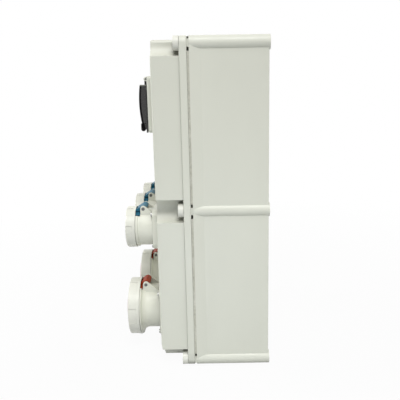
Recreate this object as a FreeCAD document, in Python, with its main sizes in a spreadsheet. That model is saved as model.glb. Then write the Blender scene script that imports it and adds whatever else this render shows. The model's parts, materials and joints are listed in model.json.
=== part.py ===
# Site distribution board for wall mounting, with five industrial sockets and a row of breakers.
# X runs to the right of someone facing the board, Y into the wall and Z up, in millimetres.
# The origin is on the wall, at the middle of the board. Depths are measured out from the wall, towards -Y.
import FreeCAD, Part
import math
import os
from types import SimpleNamespace
import Sketcher

DIMENSIONS = {
    # Fits that many pieces share
    "press_gap": 0.05,
    "run_gap": 0.12,
    "fit_gap": 0.5,
    "cut_over": 1,
    "root_sink": 0.8,
    "pin_proud": 0.5,
    "small_screw_hole": 2.2,
    "small_screw_shank": 2,
    "small_screw_head": 3.4,
    "small_screw_head_tall": 2,
    "cross_length": 4,
    "small_slot_wide": 1,
    "small_slot_deep": 1.1,
    # Enclosure
    "board_width": 340,
    "board_height": 504,
    "box_depth": 114.5,
    "rim_length": 16,
    "wall_recess": 3.5,
    "wall_skin": 3.2,
    "back_gap": 1.7,
    "tube_radius": 10.5,
    "seam_gap": 3,
    "spacer_half": 5.5,
    "spacer_wide": 18,
    "flange_thick": 11.2,
    "hump_depth": 41.3,
    "hump_side_inset": 3,
    "hump_top_inset": 4.5,
    "hump_low_inset": 12.2,
    "hump_end_round": 5,
    "hump_edge": 2.5,
    "flange_edge": 1.5,
    "scoop_radius": 17.5,
    "scoop_inset": 4,
    "foot_slope_rise": 26,
    "foot_slope_run": 4.5,
    "foot_wall_rise": 35,
    "fixing_spread_wide": 260,
    "fixing_spread_tall": 410,
    "fixing_hole_radius": 3.25,
    "fixing_pad_radius": 9,
    "entry_radius": 20,
    "entry_spread": 150,
    "entry_groove": 1.5,
    "entry_groove_deep": 1.1,
    "gasket_inset": 0.3,
    "gasket_band": 6,
    "gasket_detour": 15,
    # Cover screws and their brass inserts
    "screw_head_radius": 10.5,
    "screw_head_height": 8.3,
    "screw_shank_radius": 2.7,
    "screw_slot_length": 16.8,
    "screw_slot_wide": 2,
    "screw_slot_deep": 2.5,
    "screw_tip_gap": 3,
    "insert_radius": 4.2,
    "insert_length": 20,
    # Window and flap
    "window_height": 155.8,
    "frame_width": 260,
    "frame_tall": 84,
    "frame_thick": 10,
    "frame_round": 6,
    "frame_edge": 2,
    "sleeve_length": 10,
    "sleeve_wall": 4.25,
    "aperture_width": 231,
    "aperture_tall": 46.5,
    "window_seal_inset": 1,
    "window_seal_band": 2.5,
    "window_seal_thick": 1.4,
    "window_ear_radius": 3.4,
    "window_ear_foot": 3.6,
    "window_ear_wide": 5,
    "flap_width": 244,
    "flap_gap": 1.7,
    "flap_top_gap": 8.2,
    "flap_skirt": 14.4,
    "flap_bulge": 10.7,
    "flap_bulge_lean": 0.8,
    "flap_lip_rise": 8.6,
    "flap_lip_reach": 5.2,
    "flap_lip_web": 3.4,
    "flap_lip_half": 3.5,
    "flap_lip_straight": 3.9,
    "flap_lip_round": 3.6,
    "flap_lip_length": 236,
    "knuckle_wide": 20,
    "knuckle_radius": 3,
    "flap_skin": 2.2,
    "flap_bulge_radius": 178,
    "flap_hinge_depth": 181.2,
    "flap_hinge_rise": 37.7,
    "flap_rod_radius": 1.6,
    # Breakers on their rail
    "module_width": 17.5,
    "rail_depth": 108,
    "rail_hat": 7.5,
    "rail_length": 250,
    "rail_half": 17.5,
    "rail_channel": 13.5,
    "rail_skin": 1,
    "rail_screw_inset": 9,
    "rail_screw_length": 6,
    "bracket_wide": 20,
    "bracket_tall": 40,
    "bracket_skin": 2,
    "breaker_claw": 6,
    "rail_claw_gap": 0.4,
    "device_gap": 0.2,
    "breaker_shoulder": 44,
    "breaker_nose": 60,
    "breaker_half": 45,
    "nose_half": 22.5,
    "lever_axis_depth": 160,
    "lever_hub_radius": 5.2,
    "lever_reach": 17,
    "lever_axle_radius": 1.5,
    "lever_axle_end": 2,
    "lever_root_half": 3.2,
    "lever_tip_half": 1.8,
    "lever_slot_half": 13,
    "tie_half": 2.2,
    "pole_groove_wide": 0.8,
    "pole_groove_deep": 0.8,
    "terminal_rise": 33,
    "terminal_hole": 3,
    "terminal_deep": 10,
    "terminal_screw": 2.7,
    "terminal_screw_tall": 5,
    "button_across": 20,
    "button_rise": 13,
    "button_wide": 8,
    "button_tall": 6,
    "button_length": 7.5,
    "button_proud": 2.5,
    "button_hole_deep": 8,
    # Terminal bars
    "bar_height": 62,
    "bar_spread": 130,
    "bar_length": 110,
    "bar_front": 40,
    "bar_back": 30,
    "bar_tall": 9,
    "bar_screw": 2.2,
    "bar_screw_gap": 0.2,
    "bar_screw_deep": 7,
    "bar_screw_length": 10,
    "bar_foot_wide": 12,
    "bar_foot_tall": 16,
    "bar_foot_inset": 8,
    # Sockets, both sizes
    "socket_seal": 1.5,
    "pin_radius": 2.6,
    "ear_inner": 15,
    "ear_thick": 4,
    "ear_clearance": 0.5,
    "ear_sink": 2,
    "flange_round": 10,
    "cover_hole_step": 1,
    "flange_screw_inset": 6,
    "flange_screw_bite": 8,
    "flange_seal_inset": 1,
    "flange_seal_gap": 0.3,
    "spigot_wall": 1.9,
    "notch_gap": 0.3,
    "lug_lead": 3.3,
    "lug_thick": 2.5,
    "tab_lead": 0.4,
    "tab_thick": 2.4,
    "tab_overlap": 0.9,
    "carrier_tail": 22,
    "floor_thick": 7,
    "carrier_gap": 0.2,
    "contact_deep": 26,
    "contact_recess": 3,
    "contact_skin": 0.8,
    "lid_skin": 2.4,
    "lid_gap": 0.8,
    "lid_step": 0.8,
    "lid_ledge": 4,
    "dome_fall": 0.6,
    "seal_inner": 2.3,
    "seal_outer": 0.2,
    "seal_lead": 0.1,
    "seal_thick": 1.5,
    "strap_half": 9.6,
    "web_gap": 1.2,
    "arm_gap": 0.4,
    "arm_step": 0.5,
    "knuckle_skin": 0.8,
    "spring_wide": 8,
    "spring_gap": 0.2,
    "ring_play": 0.6,
    "ring_end_play": 0.3,
    "ring_lip_thick": 2,
    "ring_edge": 1.4,
    "grip_recess": 0.8,
    "grip_start": 4.5,
    # Blue 16 A sockets
    "blue_pitch": 106,
    "blue_drop": 37.75,
    "blue_flange_half": 31,
    "blue_flange_front": 180,
    "blue_neck": 29.7,
    "blue_bore": 25.3,
    "blue_collar_back": 203.5,
    "blue_collar": 31.4,
    "blue_collar_front": 207,
    "blue_spigot": 27.2,
    "blue_mouth": 216,
    "blue_lug": 30.1,
    "blue_ring": 32.8,
    "blue_ring_bore": 31.1,
    "blue_ring_lip": 27.8,
    "blue_ring_back": 207.5,
    "blue_ring_front": 222.5,
    "blue_dome": 222,
    "blue_insert": 19.5,
    "blue_insert_front": 211,
    "blue_contact_circle": 10,
    "blue_contact": 3.2,
    "blue_pin_depth": 194.8,
    "blue_pin_rise": 32.8,
    "blue_ear": 4.5,
    "blue_ear_foot": 26,
    "blue_knuckle": 4.8,
    "blue_web": 20,
    # Red 32 A sockets
    "red_pitch": 159,
    "red_drop": 185.2,
    "red_flange_half": 39,
    "red_flange_front": 177,
    "red_neck": 36.5,
    "red_bore": 34,
    "red_collar_back": 207,
    "red_collar": 47,
    "red_collar_front": 209,
    "red_spigot": 40.2,
    "red_mouth": 221,
    "red_lug": 43.6,
    "red_ring": 48,
    "red_ring_bore": 45.4,
    "red_ring_lip": 42,
    "red_ring_back": 209.5,
    "red_ring_front": 227.7,
    "red_dome": 231.3,
    "red_insert": 28,
    "red_insert_front": 214,
    "red_contact_circle": 16,
    "red_contact": 3.6,
    "red_pin_depth": 199.9,
    "red_pin_rise": 43.8,
    "red_ear": 4.9,
    "red_ear_foot": 32,
    "red_knuckle": 5.8,
    "red_web": 22,
}

DIAGONAL = math.sqrt(0.5)
TOUCH = 0.001

doc = FreeCAD.newDocument("distribution_board")


class Size:
    """A length that also knows the sheet expression it comes from."""

    def __init__(self, value, text):
        self.value = value
        self.text = text

    def __add__(self, other):
        other = as_size(other)
        return Size(self.value + other.value, f"({self.text} + {other.text})")

    def __sub__(self, other):
        other = as_size(other)
        return Size(self.value - other.value, f"({self.text} - {other.text})")

    def __mul__(self, other):
        other = as_size(other)
        return Size(self.value * other.value, f"({self.text} * {other.text})")

    def __truediv__(self, other):
        other = as_size(other)
        return Size(self.value / other.value, f"({self.text} / {other.text})")

    def __neg__(self):
        return Size(-self.value, f"(0 - {self.text})")


def as_size(number):
    if isinstance(number, Size):
        return number
    return Size(float(number), f"({float(number)!r})")


def make_sheet():
    """Writes the driving dimensions to the sheet and gives them back as sizes by name."""
    sheet = doc.addObject("Spreadsheet::Sheet", "dims")
    for row, (name, value) in enumerate(DIMENSIONS.items(), start=1):
        sheet.set(f"A{row}", name)
        sheet.set(f"B{row}", str(value))
        sheet.setAlias(f"B{row}", name)
    doc.recompute()
    sizes = {name: Size(float(value), f"dims.{name}") for name, value in DIMENSIONS.items()}
    return SimpleNamespace(**sizes)


dim = make_sheet()
NODES = []


# Drawing helpers

def bind(target, field, length):
    target.setExpression(field, as_size(length).text)


def new_body(label, x=0, z=0):
    """A body on the wall plane, carried to its place across and up the board."""
    body = doc.addObject("PartDesign::Body", label)
    body.Label = label
    body.AllowCompound = True
    bind(body, "Placement.Base.x", x)
    bind(body, "Placement.Base.z", z)
    NODES.append(body)
    return body


def new_sketch(body, role, offset=0):
    """A sketch on one of the body's planes, carried out along the plane's normal."""
    plane = next(feature for feature in body.Origin.OriginFeatures if feature.Role == role)
    sketch = body.newObject("Sketcher::SketchObject", body.Name + "_sketch")
    sketch.AttachmentSupport = [(plane, "")]
    sketch.MapMode = "FlatFace"
    bind(sketch, "AttachmentOffset.Base.z", offset)
    return sketch


def front_sketch(body, depth):
    """A sketch that faces the front: across and up, at a depth out from the wall."""
    return new_sketch(body, "XZ_Plane", depth)


def side_sketch(body, across=0):
    """A sketch seen from the right: into the wall and up, at a place across the body."""
    return new_sketch(body, "YZ_Plane", across)


def plan_sketch(body, height=0):
    """A sketch seen from above: across and into the wall, at a height."""
    return new_sketch(body, "XY_Plane", height)


def hold(sketch, index, end, x, y):
    """Ties one point of a sketch to its two sizes from the sketch's origin."""
    for kind, length in (("DistanceX", as_size(x)), ("DistanceY", as_size(y))):
        constraint = Sketcher.Constraint(kind, -1, 1, index, end, length.value)
        number = sketch.addConstraint(constraint)
        bind(sketch, f"Constraints[{number}]", length)


def hold_radius(sketch, index, radius):
    number = sketch.addConstraint(Sketcher.Constraint("Radius", index, radius.value))
    bind(sketch, f"Constraints[{number}]", radius)


def arc_between(start, end, radius):
    """The short arc of a radius that turns counter-clockwise from start to end."""
    chord = end - start
    half = chord.Length / 2
    side = FreeCAD.Vector(-chord.y, chord.x, 0).normalize()
    centre = start + chord / 2 + side * math.sqrt(max(radius * radius - half * half, 0))
    circle = Part.Circle(centre, FreeCAD.Vector(0, 0, 1), radius)
    return Part.ArcOfCircle(circle, circle.parameter(start), circle.parameter(end))


def outline(sketch, points):
    """A closed outline. A third entry starts an arc of that radius, clockwise where it is negative."""
    first = sketch.GeometryCount
    count = len(points)
    places = [FreeCAD.Vector(as_size(point[0]).value, as_size(point[1]).value, 0) for point in points]
    radii = [as_size(point[2]) if len(point) == 3 else None for point in points]
    starts = [2 if radius and radius.value < 0 else 1 for radius in radii]
    for index, radius in enumerate(radii):
        start = places[index]
        end = places[(index + 1) % count]
        if radius is None:
            sketch.addGeometry(Part.LineSegment(start, end), False)
        elif radius.value > 0:
            sketch.addGeometry(arc_between(start, end, radius.value), False)
        else:
            sketch.addGeometry(arc_between(end, start, -radius.value), False)
    for index, start in enumerate(starts):
        following = (index + 1) % count
        sketch.addConstraint(Sketcher.Constraint(
            "Coincident", first + index, 3 - start, first + following, starts[following]))
    for index, (point, radius, start) in enumerate(zip(points, radii, starts)):
        hold(sketch, first + index, start, point[0], point[1])
        if radius:
            hold_radius(sketch, first + index, radius if radius.value > 0 else -radius)


def side_outline(sketch, points):
    """An outline on a side sketch, from depths out from the wall and heights."""
    outline(sketch, [(-as_size(point[0]),) + tuple(point[1:]) for point in points])


def turned_outline(sketch, points):
    """An outline to turn about the depth axis, from radii and depths."""
    outline(sketch, [(point[0], -as_size(point[1])) + tuple(point[2:]) for point in points])


def circle(sketch, x, y, radius):
    x = as_size(x)
    y = as_size(y)
    radius = as_size(radius)
    centre = FreeCAD.Vector(x.value, y.value, 0)
    index = sketch.addGeometry(Part.Circle(centre, FreeCAD.Vector(0, 0, 1), radius.value), False)
    hold(sketch, index, 3, x, y)
    hold_radius(sketch, index, radius)


def rectangle(sketch, width, height, x=0, y=0):
    left = as_size(x) - as_size(width) / 2
    right = as_size(x) + as_size(width) / 2
    low = as_size(y) - as_size(height) / 2
    high = as_size(y) + as_size(height) / 2
    outline(sketch, [(left, low), (right, low), (right, high), (left, high)])


def round_rectangle(sketch, width, height, radius):
    half_wide = as_size(width) / 2
    half_tall = as_size(height) / 2
    near = half_wide - radius
    level = half_tall - radius
    outline(sketch, [
        (-near, -half_tall), (near, -half_tall, radius),
        (half_wide, -level), (half_wide, level, radius),
        (near, half_tall), (-near, half_tall, radius),
        (-half_wide, level), (-half_wide, -level, radius),
    ])


def extrude(kind, sketch, length, symmetric=False, reverse=False):
    """Pads or pockets a sketch. A pad leaves the sketch along its normal and a pocket against it."""
    body = sketch.getParentGeoFeatureGroup()
    feature = body.newObject(f"PartDesign::{kind}", f"{body.Name}_{kind.lower()}")
    feature.Profile = sketch
    feature.SideType = "Symmetric" if symmetric else "One side"
    feature.Reversed = reverse
    bind(feature, "Length", length)
    return feature


def pad(sketch, length, **options):
    return extrude("Pad", sketch, length, **options)


def pocket(sketch, length, **options):
    return extrude("Pocket", sketch, length, **options)


def loft(first, last):
    """Joins two outlines at different depths with straight walls."""
    body = first.getParentGeoFeatureGroup()
    feature = body.newObject("PartDesign::AdditiveLoft", body.Name + "_loft")
    feature.Profile = first
    feature.Sections = [last]
    feature.Ruled = True
    return feature


def round_front(body, depth, radius):
    """Rounds the edges of a body, as made so far, that lie at one depth."""
    doc.recompute()
    base = body.Tip
    level = -as_size(depth).value
    names = []
    for number, edge in enumerate(base.Shape.Edges, start=1):
        middle = edge.valueAt((edge.FirstParameter + edge.LastParameter) / 2)
        points = [vertex.Point for vertex in edge.Vertexes] + [middle]
        if all(abs(point.y - level) < TOUCH for point in points):
            names.append(f"Edge{number}")
    rounded = body.newObject("PartDesign::Fillet", body.Name + "_round")
    rounded.Base = (base, names)
    bind(rounded, "Radius", radius)
    body.Tip = rounded
    return rounded


def turn(kind, sketch, axis="V_Axis", angle=360):
    """Turns a sketch about one of its axes, half to each side where it isn't a full turn."""
    body = sketch.getParentGeoFeatureGroup()
    feature = body.newObject(f"PartDesign::{kind}", f"{body.Name}_{kind.lower()}")
    feature.Profile = sketch
    feature.ReferenceAxis = (sketch, [axis])
    bind(feature, "Angle", angle)
    feature.Midplane = as_size(angle).value < 360
    return feature


def slot_screws(body, places, front, length, upright=False):
    """Cuts a driver slot across each screw of a body, level or upright, in from the heads' front."""
    slots = front_sketch(body, front)
    sides = (dim.small_slot_wide, length) if upright else (length, dim.small_slot_wide)
    for place in places:
        rectangle(slots, *sides, *place)
    pocket(slots, dim.small_slot_deep)


def angle_across(half, radius):
    """The angle that a width takes up at a radius, in degrees."""
    half = as_size(half)
    spread = 2 * math.degrees(math.asin(half.value / radius.value))
    return Size(spread, f"(2 * asin({half.text} / {radius.text}))")


def repeat_around(feature, count):
    """Repeats a feature about the body's depth axis."""
    body = feature.getParentGeoFeatureGroup()
    axis = next(item for item in body.Origin.OriginFeatures if item.Role == "Y_Axis")
    pattern = body.newObject("PartDesign::PolarPattern", body.Name + "_around")
    pattern.Originals = [feature]
    pattern.Axis = (axis, [""])
    pattern.Angle = 360
    pattern.Occurrences = count
    body.Tip = pattern
    return pattern


def repeat_across(features, length, count):
    """Repeats features to the right, over a length in all."""
    body = features[0].getParentGeoFeatureGroup()
    axis = next(item for item in body.Origin.OriginFeatures if item.Role == "X_Axis")
    pattern = body.newObject("PartDesign::LinearPattern", body.Name + "_across")
    pattern.Originals = features
    pattern.Direction = (axis, [""])
    bind(pattern, "Length", length)
    pattern.Occurrences = count
    body.Tip = pattern
    return pattern


def mirror_across(features):
    """Repeats features on the other side of the body's middle."""
    body = features[0].getParentGeoFeatureGroup()
    plane = next(item for item in body.Origin.OriginFeatures if item.Role == "YZ_Plane")
    mirrored = body.newObject("PartDesign::Mirrored", body.Name + "_mirrored")
    mirrored.Originals = features
    mirrored.MirrorPlane = (plane, [""])
    body.Tip = mirrored
    return mirrored


# Places that several pieces share

half_width = dim.board_width / 2
half_height = dim.board_height / 2
cover_back = dim.box_depth + dim.seam_gap
flange_front = cover_back + dim.flange_thick
cover_front = flange_front + dim.hump_depth
floor_depth = dim.back_gap + dim.wall_skin
screw_across = half_width - dim.tube_radius
screw_up = half_height - dim.tube_radius
SCREW_ROWS = (-screw_up, 0, screw_up)
SCREW_PLACES = [(screw_across * side, row) for side in (-1, 1) for row in SCREW_ROWS]
scoop_across = half_width - dim.scoop_inset
FIXING_PLACES = [(dim.fixing_spread_wide / 2 * side, dim.fixing_spread_tall / 2 * row)
                 for side in (-1, 1) for row in (-1, 1)]

SOCKETS = [
    ("blue_left", "blue", -dim.blue_pitch),
    ("blue_middle", "blue", dim.blue_pitch * 0),
    ("blue_right", "blue", dim.blue_pitch),
    ("red_left", "red", -dim.red_pitch / 2),
    ("red_right", "red", dim.red_pitch / 2),
]


def socket_sizes(colour):
    """The sizes of one kind of socket, without the colour in their names."""
    prefix = colour + "_"
    kind = SimpleNamespace(**{name[len(prefix):]: getattr(dim, name)
                              for name in DIMENSIONS if name.startswith(prefix)})
    kind.cover_hole = kind.insert + dim.cover_hole_step
    kind.screw_reach = kind.flange_half - dim.flange_screw_inset
    kind.flare = kind.collar - kind.neck
    kind.disc = kind.ring_bore - dim.ring_play
    kind.ear_front = kind.pin_depth + kind.ear
    kind.notch_low = kind.spigot + dim.notch_gap
    kind.notch_back = kind.ear_front + dim.fit_gap
    return kind


def flange_screw_places(kind, x):
    """The four screws of a socket's flange, across and up the board."""
    reach = kind.screw_reach
    return [(x + reach * side, reach * row - kind.drop) for side in (-1, 1) for row in (-1, 1)]


KINDS = {colour: socket_sizes(colour) for colour in ("blue", "red")}
CONTACT_ANGLES = {"blue": [90, 210, 330], "red": [90, 162, 234, 306, 18]}


# Rear box with six half-round screw tubes

def make_rear_box():
    body = new_body("rear_box")
    wall_width = dim.board_width - dim.wall_recess * 2
    wall_height = dim.board_height - dim.wall_recess * 2
    shell = front_sketch(body, dim.back_gap)
    round_rectangle(shell, wall_width, wall_height, dim.tube_radius - dim.wall_recess)
    pad(shell, dim.box_depth - dim.back_gap)
    rim_root = front_sketch(body, dim.box_depth - dim.rim_length)
    round_rectangle(rim_root, wall_width, wall_height, dim.tube_radius - dim.wall_recess)
    rim = front_sketch(body, dim.box_depth)
    round_rectangle(rim, dim.board_width, dim.board_height, dim.tube_radius)
    loft(rim_root, rim)
    hollow = front_sketch(body, dim.box_depth)
    rectangle(hollow, wall_width - dim.wall_skin * 2, wall_height - dim.wall_skin * 2)
    pocket(hollow, dim.box_depth - floor_depth)
    tubes = front_sketch(body, 0)
    for x, z in SCREW_PLACES:
        circle(tubes, x, z, dim.tube_radius)
    pad(tubes, dim.box_depth)
    spacers = front_sketch(body, dim.box_depth)
    for x, z in SCREW_PLACES:
        rectangle(spacers, dim.spacer_wide, dim.spacer_half * 2, x, z)
    pad(spacers, dim.seam_gap)
    insert_holes = front_sketch(body, cover_back)
    for x, z in SCREW_PLACES:
        circle(insert_holes, x, z, dim.insert_radius)
    pocket(insert_holes, dim.seam_gap + dim.insert_length)
    pads = front_sketch(body, 0)
    for x, z in FIXING_PLACES:
        circle(pads, x, z, dim.fixing_pad_radius)
    pad(pads, floor_depth)
    holes = front_sketch(body, floor_depth)
    for x, z in FIXING_PLACES:
        circle(holes, x, z, dim.fixing_hole_radius)
    pocket(holes, floor_depth)
    for side in (-1, 1):
        # Round knock-outs for the supply cable, one pair above and one below
        entries = plan_sketch(body, wall_height / 2 * side)
        for x in (-dim.entry_spread / 2, dim.entry_spread / 2):
            circle(entries, x, -dim.box_depth / 2, dim.entry_radius)
            circle(entries, x, -dim.box_depth / 2, dim.entry_radius - dim.entry_groove)
        pocket(entries, dim.entry_groove_deep, reverse=side < 0)


def make_cover_gasket():
    """Foam strip in the seam, which passes inside the screws."""
    body = new_body("cover_gasket")
    outer_width = dim.board_width - dim.gasket_inset * 2
    outer_height = dim.board_height - dim.gasket_inset * 2
    strip = front_sketch(body, dim.box_depth)
    rectangle(strip, outer_width, outer_height)
    rectangle(strip, outer_width - dim.gasket_band * 2, outer_height - dim.gasket_band * 2)
    pad(strip, dim.seam_gap)
    detours = front_sketch(body, dim.box_depth)
    for x, z in SCREW_PLACES:
        circle(detours, x, z, dim.gasket_detour + dim.gasket_band)
    pad(detours, dim.seam_gap)
    clear = front_sketch(body, cover_back)
    for x, z in SCREW_PLACES:
        circle(clear, x, z, dim.gasket_detour)
    pocket(clear, dim.seam_gap)
    detour_reach = (dim.gasket_detour + dim.gasket_band) * 2
    trim = front_sketch(body, cover_back)
    rectangle(trim, dim.board_width + detour_reach, dim.board_height + detour_reach)
    rectangle(trim, outer_width, outer_height)
    pocket(trim, dim.seam_gap)


def make_screw_inserts():
    body = new_body("screw_inserts")
    sleeves = front_sketch(body, dim.box_depth - dim.insert_length)
    for x, z in SCREW_PLACES:
        circle(sleeves, x, z, dim.insert_radius - dim.press_gap)
        circle(sleeves, x, z, dim.screw_shank_radius + dim.run_gap)
    pad(sleeves, dim.insert_length)


def make_cover_screws():
    body = new_body("cover_screws")
    heads = front_sketch(body, flange_front)
    for x, z in SCREW_PLACES:
        circle(heads, x, z, dim.screw_head_radius)
    pad(heads, dim.screw_head_height)
    shank_length = flange_front - dim.box_depth + dim.insert_length - dim.screw_tip_gap
    shanks = front_sketch(body, flange_front - shank_length)
    for x, z in SCREW_PLACES:
        circle(shanks, x, z, dim.screw_shank_radius)
    pad(shanks, shank_length)
    slots = front_sketch(body, flange_front + dim.screw_head_height)
    for x, z in SCREW_PLACES:
        rectangle(slots, dim.screw_slot_length, dim.screw_slot_wide, x, z)
    pocket(slots, dim.screw_slot_deep)


# Front cover: a flange that meets the box and a raised body with screw scoops

def make_front_cover():
    body = new_body("front_cover")
    flange = front_sketch(body, cover_back)
    round_rectangle(flange, dim.board_width, dim.board_height, dim.tube_radius)
    pad(flange, dim.flange_thick)
    round_front(body, cover_back, dim.flange_edge)
    round_front(body, flange_front, dim.flange_edge)
    hump_width = dim.board_width - dim.hump_side_inset * 2
    hump_top = half_height - dim.hump_top_inset
    hump_low = dim.hump_low_inset - half_height
    hump = front_sketch(body, flange_front)
    rectangle(hump, hump_width, hump_top - hump_low, 0, (hump_top + hump_low) / 2)
    pad(hump, dim.hump_depth)
    round_front(body, cover_front, dim.hump_edge)
    scoops = front_sketch(body, cover_front)
    for side in (-1, 1):
        for row in (-screw_up, 0):
            circle(scoops, scoop_across * side, row, dim.scoop_radius)
        top_scoop(scoops, side, hump_top)
    pocket(scoops, dim.hump_depth)
    foot = side_sketch(body)
    foot_low = -half_height
    foot_front = cover_front + dim.cut_over
    slope_top = hump_low + dim.foot_slope_rise
    slope_tall = slope_top - foot_low
    slope_foot = cover_front - dim.foot_slope_run * slope_tall / dim.foot_slope_rise
    side_outline(foot, [
        (cover_front, slope_top), (slope_foot, foot_low), (foot_front, foot_low), (foot_front, slope_top),
    ])
    pocket(foot, dim.board_width, symmetric=True)
    hollow_cover(body, hump_width / 2 - dim.wall_skin, hump_low + dim.wall_skin, hump_top - dim.wall_skin)
    cut_cover_openings(body)


def top_scoop(sketch, side, end):
    """A scoop at a top corner of the cover, open at the end, where a convex round leads to its wall."""
    radius = dim.scoop_radius
    wall = scoop_across - radius
    clear = end + dim.cut_over
    corner = [
        (wall - dim.hump_end_round, clear), (wall - dim.hump_end_round, end, -dim.hump_end_round),
        (wall, end - dim.hump_end_round), (wall, screw_up, radius),
        (scoop_across, screw_up - radius, radius), (scoop_across + radius, screw_up),
        (scoop_across + radius, clear),
    ]
    placed = [(point[0] * side,) + point[1:] for point in corner]
    if side < 0:
        placed = [placed[index][:2] + placed[index - 1][2:] for index in range(len(placed))][::-1]
    outline(sketch, placed)


def hollow_cover(body, inner_wide, inner_low, inner_top):
    """Hollows the cover from behind, leaving walls round the scoops and along the sloping foot."""
    waist = scoop_across - dim.scoop_radius - dim.wall_skin
    scoop_half = dim.scoop_radius + dim.wall_skin
    end_wall = screw_up - scoop_half
    right = [
        (waist, inner_low), (waist, -end_wall), (inner_wide, -end_wall), (inner_wide, -scoop_half),
        (waist, -scoop_half), (waist, scoop_half), (inner_wide, scoop_half), (inner_wide, end_wall),
        (waist, end_wall), (waist, inner_top),
    ]
    left = [(-x, z) for x, z in reversed(right)]
    main = front_sketch(body, cover_back)
    outline(main, right + left)
    main_length = cover_front - cover_back - dim.foot_slope_run - dim.wall_skin * 2
    pocket(main, main_length, reverse=True)
    face_low = inner_low + dim.foot_wall_rise
    face = front_sketch(body, cover_back + main_length)
    outline(face, [(-waist, face_low), (waist, face_low), (waist, inner_top), (-waist, inner_top)])
    pocket(face, cover_front - dim.wall_skin - cover_back - main_length, reverse=True)


def cut_cover_openings(body):
    openings = front_sketch(body, cover_front)
    sleeve_room = (dim.sleeve_wall + dim.fit_gap) * 2
    window_wide = dim.aperture_width + sleeve_room
    window_tall = dim.aperture_tall + sleeve_room
    rectangle(openings, window_wide, window_tall, 0, dim.window_height)
    for name, colour, x in SOCKETS:
        kind = KINDS[colour]
        circle(openings, x, -kind.drop, kind.cover_hole)
        for place in flange_screw_places(kind, x):
            circle(openings, *place, dim.small_screw_hole)
    pocket(openings, dim.hump_depth / 2)
    screw_holes = front_sketch(body, flange_front)
    for x, z in SCREW_PLACES:
        circle(screw_holes, x, z, dim.screw_shank_radius + dim.fit_gap)
    pocket(screw_holes, dim.flange_thick)


# Window: frame, seal, hinged flap and its hinge rod

frame_front = cover_front + dim.frame_thick
flap_back = frame_front + dim.flap_gap
window_ear_across = dim.flap_width / 2 + dim.fit_gap


def make_window_frame():
    body = new_body("window_frame", 0, dim.window_height)
    plate = front_sketch(body, cover_front)
    round_rectangle(plate, dim.frame_width, dim.frame_tall, dim.frame_round)
    pad(plate, dim.frame_thick)
    round_front(body, frame_front, dim.frame_edge)
    sleeve = front_sketch(body, cover_front - dim.sleeve_length)
    rectangle(sleeve, dim.aperture_width + dim.sleeve_wall * 2, dim.aperture_tall + dim.sleeve_wall * 2)
    pad(sleeve, dim.sleeve_length)
    aperture = front_sketch(body, frame_front)
    rectangle(aperture, dim.aperture_width, dim.aperture_tall)
    pocket(aperture, dim.frame_thick + dim.sleeve_length)
    reach = dim.flap_hinge_depth
    rise = dim.flap_hinge_rise
    knuckle_room = dim.knuckle_radius + dim.fit_gap
    notch_wide = dim.knuckle_wide + dim.fit_gap * 2
    notch_tall = dim.frame_tall / 2 + dim.cut_over - rise + knuckle_room
    notches = front_sketch(body, frame_front)
    for side in (-1, 1):
        middle = (window_ear_across - notch_wide / 2) * side
        rectangle(notches, notch_wide, notch_tall, middle, rise - knuckle_room + notch_tall / 2)
    pocket(notches, frame_front - reach + knuckle_room)
    lean = dim.window_ear_radius * DIAGONAL
    ear = side_sketch(body, window_ear_across)
    side_outline(ear, [
        (frame_front, rise - dim.window_ear_foot), (frame_front, rise + dim.window_ear_foot),
        (reach + lean, rise + lean, dim.window_ear_radius), (reach + lean, rise - lean),
    ])
    mirror_across([pad(ear, dim.window_ear_wide)])
    bore_length = dim.window_ear_wide + dim.pin_proud
    bore = side_sketch(body, window_ear_across + bore_length)
    circle(bore, -reach, rise, dim.flap_rod_radius + dim.press_gap)
    mirror_across([pocket(bore, bore_length)])


def make_window_seal():
    body = new_body("window_seal", 0, dim.window_height)
    strip = front_sketch(body, frame_front)
    for inset in (dim.window_seal_inset, dim.window_seal_inset + dim.window_seal_band):
        rectangle(strip, dim.aperture_width + inset * 2, dim.aperture_tall + inset * 2)
    pad(strip, dim.window_seal_thick)


def make_window_flap():
    """Smoked flap: a thin plate with a bowed blister, two knuckles and a finger lip."""
    body = new_body("window_flap", 0, dim.window_height)
    skin = dim.flap_skin
    low = -dim.frame_tall / 2
    top = dim.flap_hinge_rise - dim.flap_top_gap
    bulge_low = low + dim.flap_skirt
    bulge_front = frame_front + dim.flap_bulge
    bulge_top = bulge_front + dim.flap_bulge_lean
    outer = side_sketch(body)
    side_outline(outer, [
        (flap_back, low), (flap_back, top), (bulge_top, top, dim.flap_bulge_radius),
        (bulge_front, bulge_low), (flap_back + skin, bulge_low), (flap_back + skin, low),
    ])
    pad(outer, dim.flap_width, symmetric=True)
    inner_back = flap_back - dim.cut_over
    inner = side_sketch(body)
    side_outline(inner, [
        (inner_back, bulge_low + skin), (inner_back, top - skin),
        (bulge_top - skin, top - skin, dim.flap_bulge_radius), (bulge_front - skin, bulge_low + skin),
    ])
    pocket(inner, dim.flap_width - skin * 2, symmetric=True)
    add_flap_lip(body, low + dim.flap_lip_rise, flap_back + skin)
    reach = dim.flap_hinge_depth
    rise = dim.flap_hinge_rise
    tab_low = top - skin / 2
    tab_front = reach + dim.knuckle_radius
    tab = side_sketch(body, dim.flap_width / 2 - dim.knuckle_wide)
    side_outline(tab, [(flap_back, tab_low), (flap_back, rise), (tab_front, rise), (tab_front, tab_low)])
    barrel = side_sketch(body, dim.flap_width / 2 - dim.knuckle_wide)
    circle(barrel, -reach, rise, dim.knuckle_radius)
    mirror_across([pad(tab, dim.knuckle_wide), pad(barrel, dim.knuckle_wide)])
    bore = side_sketch(body)
    circle(bore, -reach, rise, dim.flap_rod_radius + dim.run_gap)
    pocket(bore, dim.frame_width, symmetric=True)


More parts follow.
